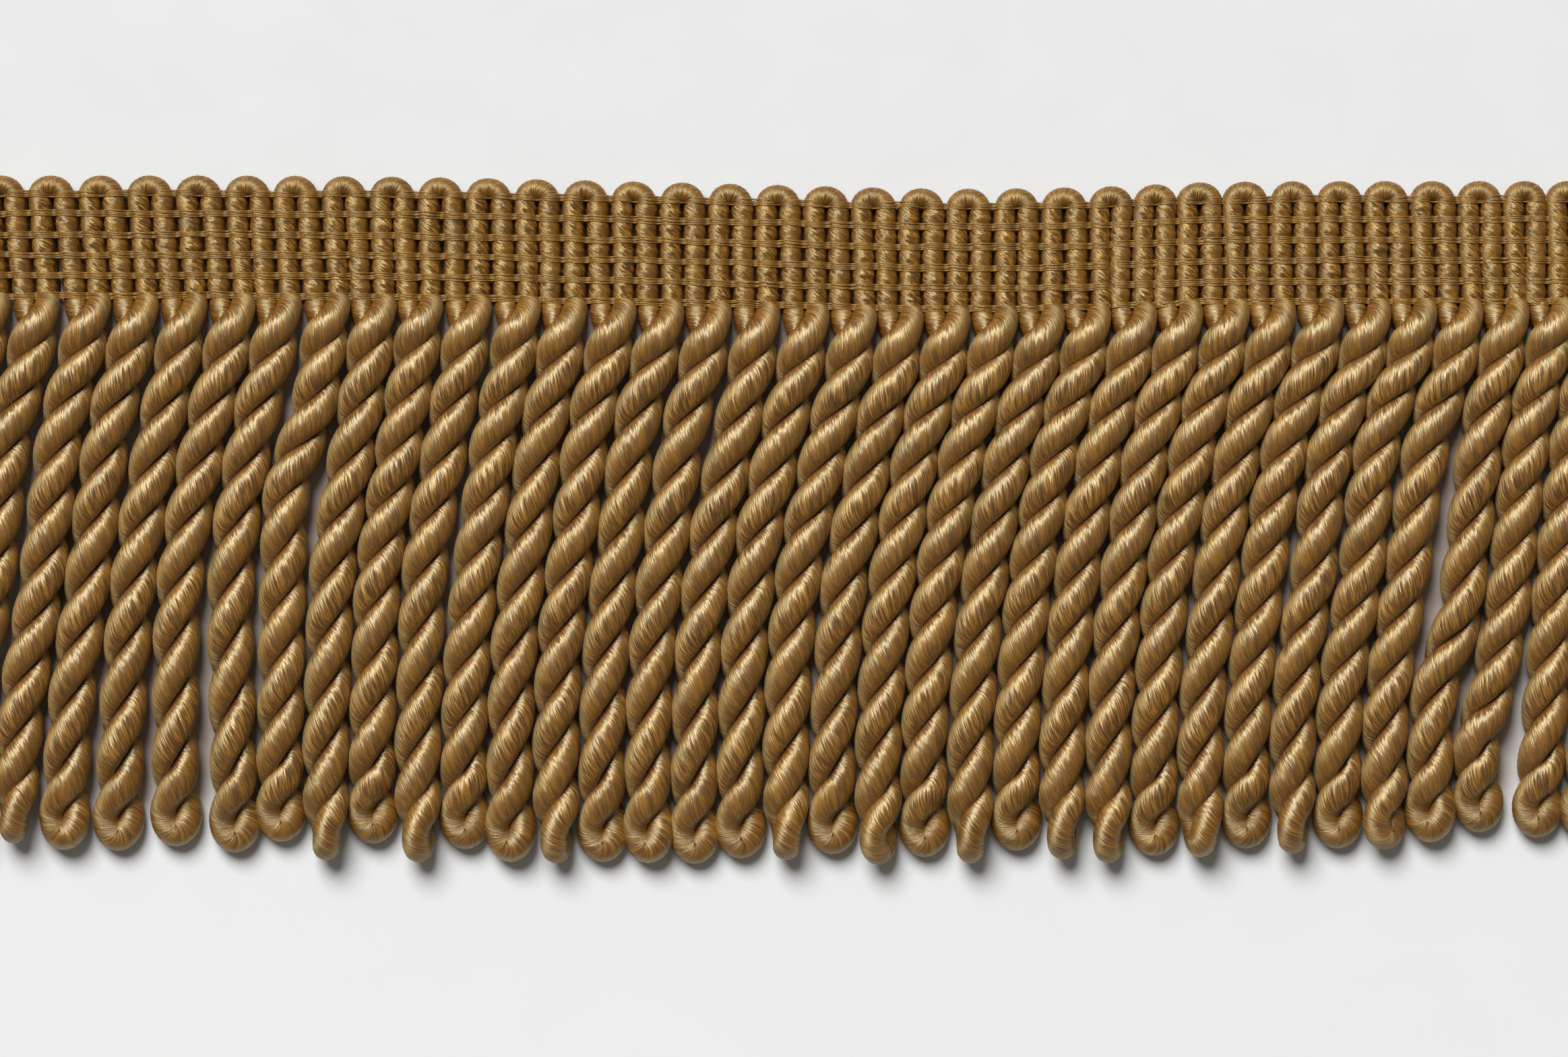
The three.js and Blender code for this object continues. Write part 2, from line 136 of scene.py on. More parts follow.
# %% A smooth curve through uneven stations
BOW = [(-100, 0.75), (-58, 0.75), (-35, 0.5), (-6, -0.15), (18, -0.7),
       (36, -0.45), (48, 0.05), (78, 0.15), (102, 0.15)]


def smooth_through(stations, places):
    at = np.array([station[0] for station in stations], float)
    value = np.array([station[1] for station in stations], float)
    before = np.maximum(np.arange(len(at)) - 1, 0)
    after = np.minimum(np.arange(len(at)) + 1, len(at) - 1)
    slope = (value[after] - value[before]) / (at[after] - at[before])
    clamped = np.clip(places, at[0], at[-1])
    index = np.clip(np.searchsorted(at, clamped) - 1, 0, len(at) - 2)
    span = at[index + 1] - at[index]
    t = (clamped - at[index]) / span
    eased = t * t * (3 - 2 * t)
    pulls = t * (1 - t) ** 2 * span * slope[index] + t * t * (t - 1) * span * slope[index + 1]
    return value[index] + (value[index + 1] - value[index]) * eased + pulls


def bow_at(along):
    return smooth_through(BOW, along)


print("bow from", bow_at(np.array([-60.0, 18.0])))

# %% [markdown]
# Where the strands hang.
# Every strand starts straight under its root and then leans to the left, as twisted
# cord does when it is laid flat. Neighbours that would run into each other are pushed
# apart a little at a time until each has its own lane.

# %% Routes of the strands
AXIS_BESIDE_ROOT = 1.5
STRAIGHT_START = 3.75
CLEAR_PITCH = 5.12
ROUTE_STEP = 2.5
LONGEST_DROP = 65.0
EASING_PASSES = 200
route_drops = np.arange(0, LONGEST_DROP + ROUTE_STEP / 2, ROUTE_STEP)


def measured_route(loop):
    leans = [(0, 0), (STRAIGHT_START, 0), (15, loop.at15), (30, loop.at30), (45, loop.at45),
             (loop.drop, loop.at_tip)]
    route = loop.root - AXIS_BESIDE_ROOT + smooth_through(leans, route_drops)
    for kink in KINKS:
        if kink.root == loop.root:
            route = route + kink.shift * np.exp(-(((route_drops - kink.drop) / kink.reach) ** 2))
    return route


routes = np.array([measured_route(loop) for loop in LOOPS])
for easing in range(EASING_PASSES):
    for index in range(len(LOOPS) - 1):
        push = np.maximum(CLEAR_PITCH - (routes[index + 1] - routes[index]), 0) / 2
        routes[index] -= push
        routes[index + 1] += push
print("closest strands, mm:", round(float((routes[1:] - routes[:-1]).min()), 2))

# %% [markdown]
# A tube with a grain.
# The cord is a bundle of fine satin filaments that wind round it. A tube is swept along
# each route, and its shape is easy. What makes it look like cord is the direction of the
# filaments, so the sweep also stores it: the first texture coordinate is the length along
# the cord, and the second is the angle round it, turned back by the winding, so that a
# line of constant second value is one filament. Materials use both: the noise is drawn
# out along them, and the shine is stretched across them. Whatever would reach below the
# floor is pressed flat on it, as soft cord is where it lies.

# %% Sweep a tube along a route
SIDES_OF_CORD = 22
BELLY_BELOW = 0.35
FLOOR_CLEARANCE = 0.02


def unit(rows):
    return rows / np.linalg.norm(rows, axis=1, keepdims=True)


def sweep(centres, outward, out, inn, side, winding, start_length, sides=SIDES_OF_CORD, squareness=2.0,
          belly=None, crease_shade_strength=None, crease_shade_reach=0.0):
    """Points, faces and texture coordinates of a closed tube, in millimetres. belly widens its inner side."""
    along = unit(np.gradient(centres, axis=0))
    outward = unit(outward - (outward * along).sum(1, keepdims=True) * along)
    across = np.cross(along, outward)
    steps = np.linalg.norm(np.diff(centres, axis=0), axis=1)
    length = start_length + np.concatenate([[0], np.cumsum(steps)])
    twist = np.concatenate([[0], np.cumsum((winding[1:] + winding[:-1]) / 2 * steps)]) / (2 * math.pi)
    angle = np.arange(sides) / sides * 2 * math.pi
    power = 2 / squareness
    inner_power = np.where(np.cos(angle) < 0, power, 1.0)
    cosine = np.sign(np.cos(angle)) * np.abs(np.cos(angle)) ** inner_power
    sine = np.sign(np.sin(angle)) * np.abs(np.sin(angle)) ** inner_power
    reach = np.where(cosine[None, :] > 0, out[:, None], inn[:, None]) * cosine[None, :]
    spread = side[:, None] * sine[None, :]
    if belly is not None:
        spread = spread * (1 + belly[:, None] * np.clip(-np.cos(angle) - BELLY_BELOW, 0, 1)[None, :])
    rings = centres[:, None] + outward[:, None] * reach[..., None] + across[:, None] * spread[..., None]
    rings[..., 2] = np.maximum(rings[..., 2], FLOOR_CLEARANCE)
    count = len(centres)
    points = np.concatenate([rings.reshape(-1, 3), centres[:1], centres[-1:]])
    ring, place = np.meshgrid(np.arange(count - 1), np.arange(sides), indexing="ij")
    ring, place = ring.ravel(), place.ravel()
    following = (place + 1) % sides
    quads = np.stack([ring * sides + place, ring * sides + following,
                      (ring + 1) * sides + following, (ring + 1) * sides + place], 1)
    u = np.stack([length[ring], length[ring], length[ring + 1], length[ring + 1]], 1)
    turn = np.stack([twist[ring], twist[ring], twist[ring + 1], twist[ring + 1]], 1)
    v = np.stack([place, place + 1, place + 1, place], 1) / sides + turn
    lap, near, far = np.arange(sides), count * sides, count * sides + 1
    lap_next = (lap + 1) % sides
    last = (count - 1) * sides
    caps = np.concatenate([np.stack([lap_next, lap, np.full(sides, near)], 1),
                           np.stack([last + lap, last + lap_next, np.full(sides, far)], 1)])
    # Painted shade: each point gets a share of darker colour on the tube's inner side and flanks, where shade
    # falls. The per-ring strength scales it, and the reach sets how far round it goes.
    crease_shade_strength = np.ones(count) if crease_shade_strength is None else crease_shade_strength
    painted_shade = crease_shade_strength[:, None] * np.clip(crease_shade_reach - np.cos(angle), 0, 1)[None, :]
    painted_shade = np.concatenate([painted_shade.ravel(), [0, 0]])
    return {"points": points, "quads": quads, "caps": caps, "u": u, "v": v,
            "painted_shade": painted_shade, "length": length[-1]}


# %% [markdown]
# Many tubes, one mesh.
# Dozens of cords as separate objects would be slow and hard to handle. Their points are
# joined into one mesh instead, with whole arrays at a time rather than point by point.

# %% Join tubes into one mesh object
def join_tubes(name, tubes, material):
    points, loops, totals, uvs, painted_shades = [], [], [], [], []
    base = 0
    for tube in tubes:
        points.append(tube["points"])
        painted_shades.append(tube["painted_shade"])
        quads, caps = tube["quads"] + base, tube["caps"] + base
        loops += [quads.ravel(), caps.ravel()]
        totals += [np.full(len(quads), 4), np.full(len(caps), 3)]
        uvs.append(np.stack([tube["u"].ravel(), tube["v"].ravel()], 1))
        uvs.append(np.full((caps.size, 2), [tube["length"], 0.0]))
        base += len(tube["points"])
    totals = np.concatenate(totals)
    starts = np.concatenate([[0], np.cumsum(totals)[:-1]])
    loops = np.concatenate(loops)
    places = (np.concatenate(points) + PLAN_SHIFT) * MM
    mesh = bpy.data.meshes.new(name)
    mesh.vertices.add(len(places))
    mesh.vertices.foreach_set("co", places.astype(np.float32).ravel())
    mesh.loops.add(len(loops))
    mesh.loops.foreach_set("vertex_index", loops.astype(np.int32))
    mesh.polygons.add(len(totals))
    mesh.polygons.foreach_set("loop_start", starts.astype(np.int32))
    mesh.polygons.foreach_set("loop_total", totals.astype(np.int32))
    mesh.polygons.foreach_set("use_smooth", np.ones(len(totals), bool))
    layer = mesh.uv_layers.new(name="grain")
    layer.data.foreach_set("uv", np.concatenate(uvs).astype(np.float32).ravel())
    # The painted shade of each point goes to the material as this attribute.
    crease = mesh.attributes.new("crease", "FLOAT", "POINT")
    crease.data.foreach_set("value", np.concatenate(painted_shades).astype(np.float32))
    mesh.update()
    mesh.validate()
    mesh.materials.append(material)
    piece = bpy.data.objects.new(name, mesh)
    bpy.context.scene.collection.objects.link(piece)
    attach(piece, "root")
    triangles = int((totals - 2).sum())
    print(name, "triangles:", triangles)
    return piece


# %% [markdown]
# The camera.
# The trim is seen from straight above. The lens is long and far away, so that the outer
# strands don't show their sides. The picture is 174.5 mm wide at the height of the cord.

# %% Camera
CAMERA_HEIGHT = 0.75
CORD_HEIGHT = 2.5 * MM
PICTURE_WIDTH = 174.5 * MM
SENSOR_WIDTH = 36.0
PICTURE_MIDDLE = (0.0 + PLAN_SHIFT[0], -25.05 + PLAN_SHIFT[1])
camera_data = bpy.data.cameras.new("camera")
camera_data.sensor_width = SENSOR_WIDTH
camera_data.lens = SENSOR_WIDTH * CAMERA_HEIGHT / PICTURE_WIDTH
camera_data.clip_start, camera_data.clip_end = 0.01, 20
camera = bpy.data.objects.new("camera", camera_data)
camera.location = (PICTURE_MIDDLE[0] * MM, PICTURE_MIDDLE[1] * MM, CAMERA_HEIGHT + CORD_HEIGHT)
bpy.context.scene.collection.objects.link(camera)
bpy.context.scene.camera = camera
print("lens, mm:", round(camera_data.lens, 1))

# %% [markdown]
# Satin cord.
# Rayon filaments are smooth and round, so light leaves them in a fan across their length.
# On a wound cord that makes a pale band along each ply, torn into streaks where single
# filaments lie a little crooked. Three things give this here: an anisotropic shader whose
# tangent follows the grain, a streak noise that tips each filament up or down along its
# own length, and painted shade in the base colour, which goes redder and darker down in the
# creases and on the flanks, where shade falls. The satin shine is golden and wide. A thin clear coat adds the
# cream white of single filaments.

# %% The cord's material
STREAK_RADIUS = 2.4
STREAK_ALONG = 0.5
STREAK_DEPTH = 0.24 * MM
STREAK_TILT = 0.9
SATIN_TINT = (1.0, 0.86, 0.42, 1)
GLOSS_ROUGHNESS = 0.38
GLOSS_IOR = 2.1
FINE_SCALE = 2.3
COARSE_SHARE = 0.4
# dark, middle and light are the streak colours. The last two are painted shade: where it begins, and deepest
# in the creases.
Colours = namedtuple("Colours", "dark middle light warm crease")


class Nodes:
    """Small helper that adds nodes and links them in one call."""

    def __init__(self, material):
        self.tree = material.node_tree
        self.tree.nodes.clear()

    def add(self, kind, settings=None, **inputs):
        node = self.tree.nodes.new(kind)
        for key, value in (settings or {}).items():
            setattr(node, key, value)
        for key, value in inputs.items():
            self.feed(node, key.replace("_", " "), value)
        return node

    def feed(self, node, socket, value):
        target = node.inputs[int(socket)] if socket.isdigit() else node.inputs[socket]
        if isinstance(value, bpy.types.NodeSocket):
            self.tree.links.new(value, target)
        else:
            target.default_value = value

    def math(self, operation, first, second=None):
        node = self.add("ShaderNodeMath", {"operation": operation})
        self.feed(node, "0", first)
        if second is not None:
            self.feed(node, "1", second)
        return node.outputs[0]

    def ramp(self, value, stops):
        node = self.add("ShaderNodeValToRGB", Fac=value)
        elements = node.color_ramp.elements
        while len(elements) < len(stops):
            elements.new(0.5)
        for element, (position, colour) in zip(elements, stops):
            element.position, element.color = position, (*colour, 1)
        return node.outputs["Color"]

    def mix(self, share, first, second, blend="MIX"):
        node = self.add("ShaderNodeMix", {"data_type": "RGBA", "blend_type": blend})
        self.feed(node, "0", share)
        self.feed(node, "6", first)
        self.feed(node, "7", second)
        return node.outputs[2]


def grain_place(nodes, radius, along):
    """Noise coordinates that run along the filaments: a circle from the angle, a line from the length."""
    grain = nodes.add("ShaderNodeUVMap", {"uv_map": "grain"})
    parts = nodes.add("ShaderNodeSeparateXYZ", Vector=grain.outputs[0])
    turn = nodes.math("MULTIPLY", parts.outputs["Y"], 2 * math.pi)
    east = nodes.math("MULTIPLY", nodes.math("COSINE", turn), radius)
    north = nodes.math("MULTIPLY", nodes.math("SINE", turn), radius)
    length = nodes.math("MULTIPLY", parts.outputs["X"], along)
    return nodes.add("ShaderNodeCombineXYZ", X=east, Y=north, Z=length).outputs[0]


def satin_cord(name, colours, streak_radius, streak_along, roughness, bump, gloss, tilt_depth=STREAK_TILT):
    material = bpy.data.materials.new(name)
    material.use_nodes = True
    nodes = Nodes(material)
    place = grain_place(nodes, streak_radius, streak_along)
    coarse = nodes.add("ShaderNodeTexNoise", Vector=place, Scale=1.0, Detail=2.0, Roughness=0.55)
    fine = nodes.add("ShaderNodeTexNoise", Vector=place, Scale=FINE_SCALE, Detail=2.0, Roughness=0.6)
    streak = nodes.math("ADD", nodes.math("MULTIPLY", coarse.outputs["Fac"], COARSE_SHARE),
                        nodes.math("MULTIPLY", fine.outputs["Fac"], 1 - COARSE_SHARE))
    yarn = nodes.ramp(streak, [(0.42, colours.dark), (0.5, colours.middle), (0.58, colours.light)])
    world_place = nodes.add("ShaderNodeTexCoord").outputs["Object"]
    patches = nodes.add("ShaderNodeTexNoise", Vector=world_place, Scale=160.0, Detail=1.0)
    patch_share = nodes.ramp(patches.outputs["Fac"], [(0.35, (0, 0, 0)), (0.7, (0.2, 0.2, 0.2))])
    yarn = nodes.mix(patch_share, yarn, (*colours.light, 1))
    # Painted shade: the crease attribute turns the base colour redder and darker, down in the creases and
    # slots where shade falls.
    crease = nodes.add("ShaderNodeAttribute", {"attribute_name": "crease"}).outputs["Fac"]
    crease_shade_share = nodes.ramp(crease, [(0.05, (0, 0, 0)), (0.6, (1, 1, 1))])
    crease_shade_yarn = nodes.ramp(crease, [(0.3, colours.warm), (0.75, colours.crease)])
    yarn = nodes.mix(crease_shade_share, yarn, crease_shade_yarn)
    tangent = nodes.add("ShaderNodeTangent", {"direction_type": "UV_MAP", "uv_map": "grain"}).outputs[0]
    normal = nodes.add("ShaderNodeNewGeometry").outputs["Normal"]
    tilt = nodes.math("MULTIPLY", nodes.math("SUBTRACT", fine.outputs["Fac"], 0.5), tilt_depth)
    tilted = nodes.add("ShaderNodeVectorMath", {"operation": "MULTIPLY_ADD"})
    nodes.feed(tilted, "0", tangent)
    nodes.feed(tilted, "1", tilt)
    nodes.feed(tilted, "2", normal)
    tipped = nodes.add("ShaderNodeVectorMath", {"operation": "NORMALIZE"})
    nodes.feed(tipped, "0", tilted.outputs[0])
    relief = nodes.add("ShaderNodeBump", Strength=bump, Distance=STREAK_DEPTH, Height=streak)
    nodes.feed(relief, "Normal", tipped.outputs[0])
    shader = nodes.add("ShaderNodeBsdfPrincipled")
    nodes.feed(shader, "Base Color", yarn)
    nodes.feed(shader, "Roughness", roughness)
    nodes.feed(shader, "Normal", relief.outputs[0])
    nodes.feed(shader, "Tangent", tangent)
    nodes.feed(shader, "Anisotropic", 0.78)
    nodes.feed(shader, "Anisotropic Rotation", 0.25)
    nodes.feed(shader, "IOR", 1.8)
    nodes.feed(shader, "Specular IOR Level", 1.0)
    nodes.feed(shader, "Specular Tint", SATIN_TINT)
    nodes.feed(shader, "Coat Weight", gloss)
    nodes.feed(shader, "Coat Roughness", GLOSS_ROUGHNESS)
    nodes.feed(shader, "Coat IOR", GLOSS_IOR)
    nodes.feed(shader, "Coat Normal", relief.outputs[0])
    nodes.feed(shader, "Sheen Weight", 0.02)
    nodes.feed(shader, "Sheen Roughness", 0.35)
    nodes.feed(shader, "Sheen Tint", (1.0, 0.85, 0.6, 1))
    output = nodes.add("ShaderNodeOutputMaterial")
    nodes.feed(output, "Surface", shader.outputs[0])
    return material


DEEP_GOLD = (0.066, 0.021, 0.001)
GOLD = (0.150, 0.051, 0.003)
PALE_GOLD = (0.26, 0.110, 0.010)
SHALLOW_SHADE_GOLD = (0.14, 0.040, 0.002)
CREASE_SHADE_BROWN = (0.045, 0.008, 0.001)
SLOT_SHADE_UMBER = (0.060, 0.019, 0.001)
RIB_GOLD = (0.142, 0.049, 0.003)
THREAD_DARK = (0.10, 0.034, 0.002)
THREAD_MIDDLE = (0.18, 0.068, 0.006)
THREAD_LIGHT = (0.30, 0.135, 0.018)
THREAD_SHADE = (0.12, 0.036, 0.002)
THREAD_IN_SHADE = (0.075, 0.021, 0.001)
# The last two colours of each set are painted shade, for the creases of the strands, the slots between ribs
# and the binding threads.
cord_colours = Colours(DEEP_GOLD, GOLD, PALE_GOLD, SHALLOW_SHADE_GOLD, CREASE_SHADE_BROWN)
rib_colours = Colours(DEEP_GOLD, RIB_GOLD, PALE_GOLD, DEEP_GOLD, SLOT_SHADE_UMBER)
thread_colours = Colours(THREAD_DARK, THREAD_MIDDLE, THREAD_LIGHT, THREAD_SHADE, THREAD_IN_SHADE)
bullion_material = satin_cord("bullion_cord", cord_colours, STREAK_RADIUS, STREAK_ALONG,
                              roughness=0.5, bump=0.8, gloss=0.25)
heading_material = satin_cord("heading_cord", rib_colours, streak_radius=1.5, streak_along=0.8,
                              roughness=0.58, bump=1.0, gloss=0.12, tilt_depth=1.4)
thread_material = satin_cord("binding_thread", thread_colours, streak_radius=0.8, streak_along=1.4,
                             roughness=0.58, bump=0.6, gloss=0.06)
print("materials:", [bullion_material.name, heading_material.name, thread_material.name])

# %% [markdown]
# The bullions.
# Each loop of cord is twisted until its two legs wind round each other, and the end stays
# a closed loop. So each strand is one tube: down the front leg, round the loop and back up
# the other leg. Both legs are a helix round the strand's axis, half a turn apart, and they
# wind square to that axis, so in a strand that leans their slant is less steep. Where
# they press together they are flat, and at the loop the cord opens again to a fat round.
# Cord is too stiff for sharp corners, so the route round the loop is relaxed at the end:
# each ring moves a little towards the middle of its two neighbours, many times over.

# %% One strand's route and section
RING_STEP = 0.43
TURN_ABOVE_TIP = 2.7
EARLY_TWIST = 0.08
EYE_ABOVE_TIP = 3.9
LATE_TWIST_REACH = 4.5
START_ABOVE_ROW = 0.1
STOP_REACH = 1.5
PLY_OFFSET = 1.27
LEG_OFFSET_AT_ROOT = 1.35
RIB_MIDDLE_HEIGHT = 1.3
PLY_OUT = 1.42
PLY_IN = 1.25
PLY_SIDE = 1.73
# PLY_SHADE_REACH is how far round each ply's flanks the painted crease shade reaches.
PLY_SHADE_REACH = 0.4
LOOP_CORD_RADIUS = 1.52
LOOP_FILLING = 0.4
FIRST_TURN_DELAY = 1.4
LOOP_OPENING = 0.35
RELAXED_RINGS = 9
RELAXING_PASSES = 14
SAG_WHEN_RELAXED = 0.25
BINDING_CORD_RADIUS = 1.05
SHOULDER_RADIUS = 1.36
WINDING_IN_STRAND = 1.4
WINDING_IN_LOOP = 2.0
WINDING_AT_ROOT = 2.2
LEGS_DRAW_IN = 4.0
OPENING_REACH = 3.5
SETTLING_REACH = 7.0
FREE_FROM, FREE_AT = 0.6, 4.0
ROW_PINCH = 0.45
RINGS_IN_LOOP = 15
SHADE_IN_LOOP = 0.3
PLY_SQUARENESS = 2.5
UP = np.array([0.0, 0.0, 1.0])


def eased(value, start, end):
    t = np.clip((value - start) / (end - start), 0, 1)
    return t * t * (3 - 2 * t)


def slowed(drops, end):
    """The same drops, but the twist comes smoothly to a stop at the end."""
    late = np.clip((drops - (end - STOP_REACH)) / STOP_REACH, 0, 1)
    return np.minimum(drops, end - STOP_REACH) + STOP_REACH * (late - late * late / 2)


def half_turns_at(loop, drop):
    part = drop / (loop.drop - TURN_ABOVE_TIP)
    return loop.half_turns * (part + EARLY_TWIST * part * (1 - part))


def strand_tube(loop, route, start_length):
    eye = loop.drop - EYE_ABOVE_TIP
    rings = round((eye + START_ABOVE_ROW) / RING_STEP)
    drops = np.linspace(-START_ABOVE_ROW, eye, rings, endpoint=False)
    late = eased(drops, eye - LATE_TWIST_REACH, eye)
    still_to_turn = loop.half_turns - half_turns_at(loop, slowed(eye, eye))
    turn = math.pi * (half_turns_at(loop, slowed(drops, eye)) + still_to_turn * late)
    turn = np.maximum(turn, 0)
    turn = np.where(turn < math.pi, math.pi * (turn / math.pi) ** FIRST_TURN_DELAY, turn)
    last_turn = math.pi * loop.half_turns
    facing = abs(math.cos(last_turn))
    opening = eased(drops, eye - OPENING_REACH, eye)
    near_root = 1 - eased(drops, 0, LEGS_DRAW_IN)
    offset = PLY_OFFSET + (LEG_OFFSET_AT_ROOT - PLY_OFFSET) * near_root + LOOP_OPENING * facing * opening
    rise = np.sin(np.minimum(turn, math.pi / 2))
    resting = PLY_OFFSET + PLY_OUT + FLOOR_CLEARANCE
    high = RIB_MIDDLE_HEIGHT + (resting - RIB_MIDDLE_HEIGHT) * rise
    lower_leg = (PLY_OFFSET + LOOP_OPENING * facing) * abs(math.sin(last_turn))
    resting = lower_leg + LOOP_CORD_RADIUS + FLOOR_CLEARANCE
    settle = eased(drops, eye - SETTLING_REACH, eye)
    high = high + (resting - high) * settle
    across = smooth_through(list(zip(route_drops, route)), np.maximum(drops, 0))
    bow = bow_at(across) * (1 - drops / loop.drop)
    axis = np.stack([across, bow - drops, high], 1)
    run = unit(np.gradient(axis[:, :2], axis=0))
    beside = np.stack([-run[:, 1], run[:, 0], np.zeros(len(run))], 1)
    outward = beside * np.cos(turn)[:, None] + UP * np.sin(turn)[:, None]
    front = axis + outward * offset[:, None]
    back = axis - outward * offset[:, None]

    eye_across = float(smooth_through(list(zip(route_drops, route)), np.array([eye]))[0])
    eye_bow = float(bow_at(np.array([eye_across]))[0]) * (1 - eye / loop.drop)
    centre = np.array([eye_across, eye_bow - eye, resting])
    swing = np.linspace(0, math.pi, RINGS_IN_LOOP)
    sideways = beside[-1] * math.cos(last_turn) + UP * math.sin(last_turn)
    down = np.array([run[-1, 0], run[-1, 1], 0])
    cosine, sine = np.cos(swing)[:, None], np.sin(swing)[:, None]
    loop_out = cosine * sideways + sine * down
    last_offset = PLY_OFFSET + LOOP_OPENING * facing
    reach_down = EYE_ABOVE_TIP - LOOP_CORD_RADIUS + SAG_WHEN_RELAXED
    bend = centre + cosine * sideways * last_offset + sine * down * reach_down

    centres = np.concatenate([front, bend, back[::-1]])
    outwards = np.concatenate([outward, loop_out, -outward[::-1]])
    from_middle = np.abs(np.arange(len(centres)) - (len(centres) - 1) / 2)
    share = 1 - eased(from_middle, len(swing) / 2, len(swing) / 2 + RELAXED_RINGS)
    for relaxing in range(RELAXING_PASSES):
        between = (centres[:-2] + centres[2:]) / 2
        centres[1:-1] += (between - centres[1:-1]) * share[1:-1, None] / 2
    free = eased(drops, FREE_FROM, FREE_AT)
    at_row = np.exp(-((drops / ROW_PINCH) ** 2))
    round_leg = SHOULDER_RADIUS - (SHOULDER_RADIUS - BINDING_CORD_RADIUS) * at_row

    def both_legs(twisted, looped, filling=0.0):
        leg = round_leg * (1 - free) + twisted * free
        leg = leg * (1 - opening) + looped * opening
        return np.concatenate([leg, looped + filling * np.sin(swing), leg[::-1]])

    out = both_legs(PLY_OUT, LOOP_CORD_RADIUS)
    inn = both_legs(PLY_IN, LOOP_CORD_RADIUS, LOOP_FILLING * facing)
    side = both_legs(PLY_SIDE, LOOP_CORD_RADIUS)
    front_winding = WINDING_IN_STRAND * (1 - opening) + WINDING_IN_LOOP * opening
    back_winding = front_winding * free + WINDING_AT_ROOT * (1 - free)
    winding = np.concatenate([front_winding, np.full(len(swing), WINDING_IN_LOOP), back_winding[::-1]])
    # Painted shade along the strand: full on the twisted legs, weaker round the loop, fading out at the root.
    crease_shade_strength = both_legs(1.0, SHADE_IN_LOOP) * np.concatenate([free, np.ones(len(swing)), free[::-1]])
    return sweep(centres, outwards, out, inn, side, winding, start_length, squareness=PLY_SQUARENESS,
                 crease_shade_strength=crease_shade_strength, crease_shade_reach=PLY_SHADE_REACH)


# %% All strands, in three joined meshes
STRAND_GROUPS = 3
strand_tubes = []
wound_length = 0.0
for loop, route in zip(LOOPS, routes):
    tube = strand_tube(loop, route, wound_length)
    wound_length = tube["length"]
    strand_tubes.append(tube)
for group, members in enumerate(np.array_split(np.arange(len(LOOPS)), STRAND_GROUPS)):
    tubes = [strand_tubes[index] for index in members]
    piece = join_tubes(f"bullions_{group + 1}", tubes, bullion_material)
    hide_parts("fringe")
print("cord in the strands, m:", round(wound_length / 1000, 2))

# %% [markdown]
# The heading's cord.
# The same cord goes up the heading as a rib, over a scallop and down again. Binding
# thread pinches it at even steps, so that it swells into a bead between each two rows.
# The tube's radius follows that: one narrow waist for each row.

# %% Ribs and scallops
BINDING_ROWS = 6
BINDING_PITCH = 2.28
FIRST_ROW = 0.1
RIB_PITCH = 2.7
RIB_BESIDE_ROOT = 0.2
HEADING_HEIGHT = 13.4
ARC_START = 11.35
ARC_RISE = 1.05
RIB_STEP = 0.22
BEAD_RADIUS = 1.2
BEAD_DEPTH = 1.18
WAIST_RADIUS = 1.1
BAND_HALF = 0.36
BELLY_REACH = 1.36
BELLY_START = 0.74
BELLY_GAIN = 3.8
SLOT_SHADE_REACH = 0.0
ARC_CORD_RADIUS = 1.13
ARC_CORD_DEPTH = 1.15
WINDING_IN_RIB = 1.1
WINDING_IN_ARC = 3.0
SIDES_OF_RIB = 18
RIB_START = -0.15
RINGS_IN_ARC = 13
RIB_SQUARENESS = 2.8
SHADE_IN_ARC = 0.5
HEADING_SEED = 7
SWAY = 0.06
ROW_SHIFT = 0.06
UNEVEN_BEADS = 0.04
Rib = namedtuple("Rib", "index top bottom")


def heading_ribs():
    half = RIB_PITCH / 2
    ribs = []
    for index, loop in enumerate(LOOPS):
        back_top = LOOPS[index - 1].scallop + half if index else loop.scallop - 3 * half
        ribs.append(Rib(len(ribs), back_top, loop.root - RIB_PITCH - RIB_BESIDE_ROOT))
        ribs.append(Rib(len(ribs), loop.scallop - half, loop.root - RIB_BESIDE_ROOT))
    return ribs


def rib_points(rib, heights):
    across = rib.bottom + (rib.top - rib.bottom) * heights / HEADING_HEIGHT
    across = across + np.interp(heights, ROW_HEIGHTS, sway[rib.index])
    return np.stack([across, heights + bow_at(across), np.full(len(heights), RIB_MIDDLE_HEIGHT)], 1)


def rib_radius(rib, heights, full):
    """Narrow and even under a binding row, and bulging like a pillow between two rows."""
    rows = ROW_HEIGHTS + row_shift[rib.index]
    nearest = np.argmin(np.abs(heights[:, None] - rows[None, :]), axis=1)
    from_row = np.abs(heights - rows[nearest])
    swell = np.clip((from_row - BAND_HALF) / (BINDING_PITCH / 2 - BAND_HALF), 0, 1)
    fullness = fullness_of_bead[rib.index, nearest]
    return WAIST_RADIUS + (full * fullness - WAIST_RADIUS) * np.sin(swell * math.pi / 2)


ROW_HEIGHTS = FIRST_ROW + BINDING_PITCH * np.arange(BINDING_ROWS)
ribs = heading_ribs()
rng = np.random.default_rng(HEADING_SEED)
sway = rng.normal(0, SWAY, (len(ribs), BINDING_ROWS))
row_shift = rng.normal(0, ROW_SHIFT, (len(ribs), BINDING_ROWS))
fullness_of_bead = rng.normal(1, UNEVEN_BEADS, (len(ribs), BINDING_ROWS))
print("ribs:", len(ribs), "beads:", fullness_of_bead.size)

# %% Sweep the heading's cord


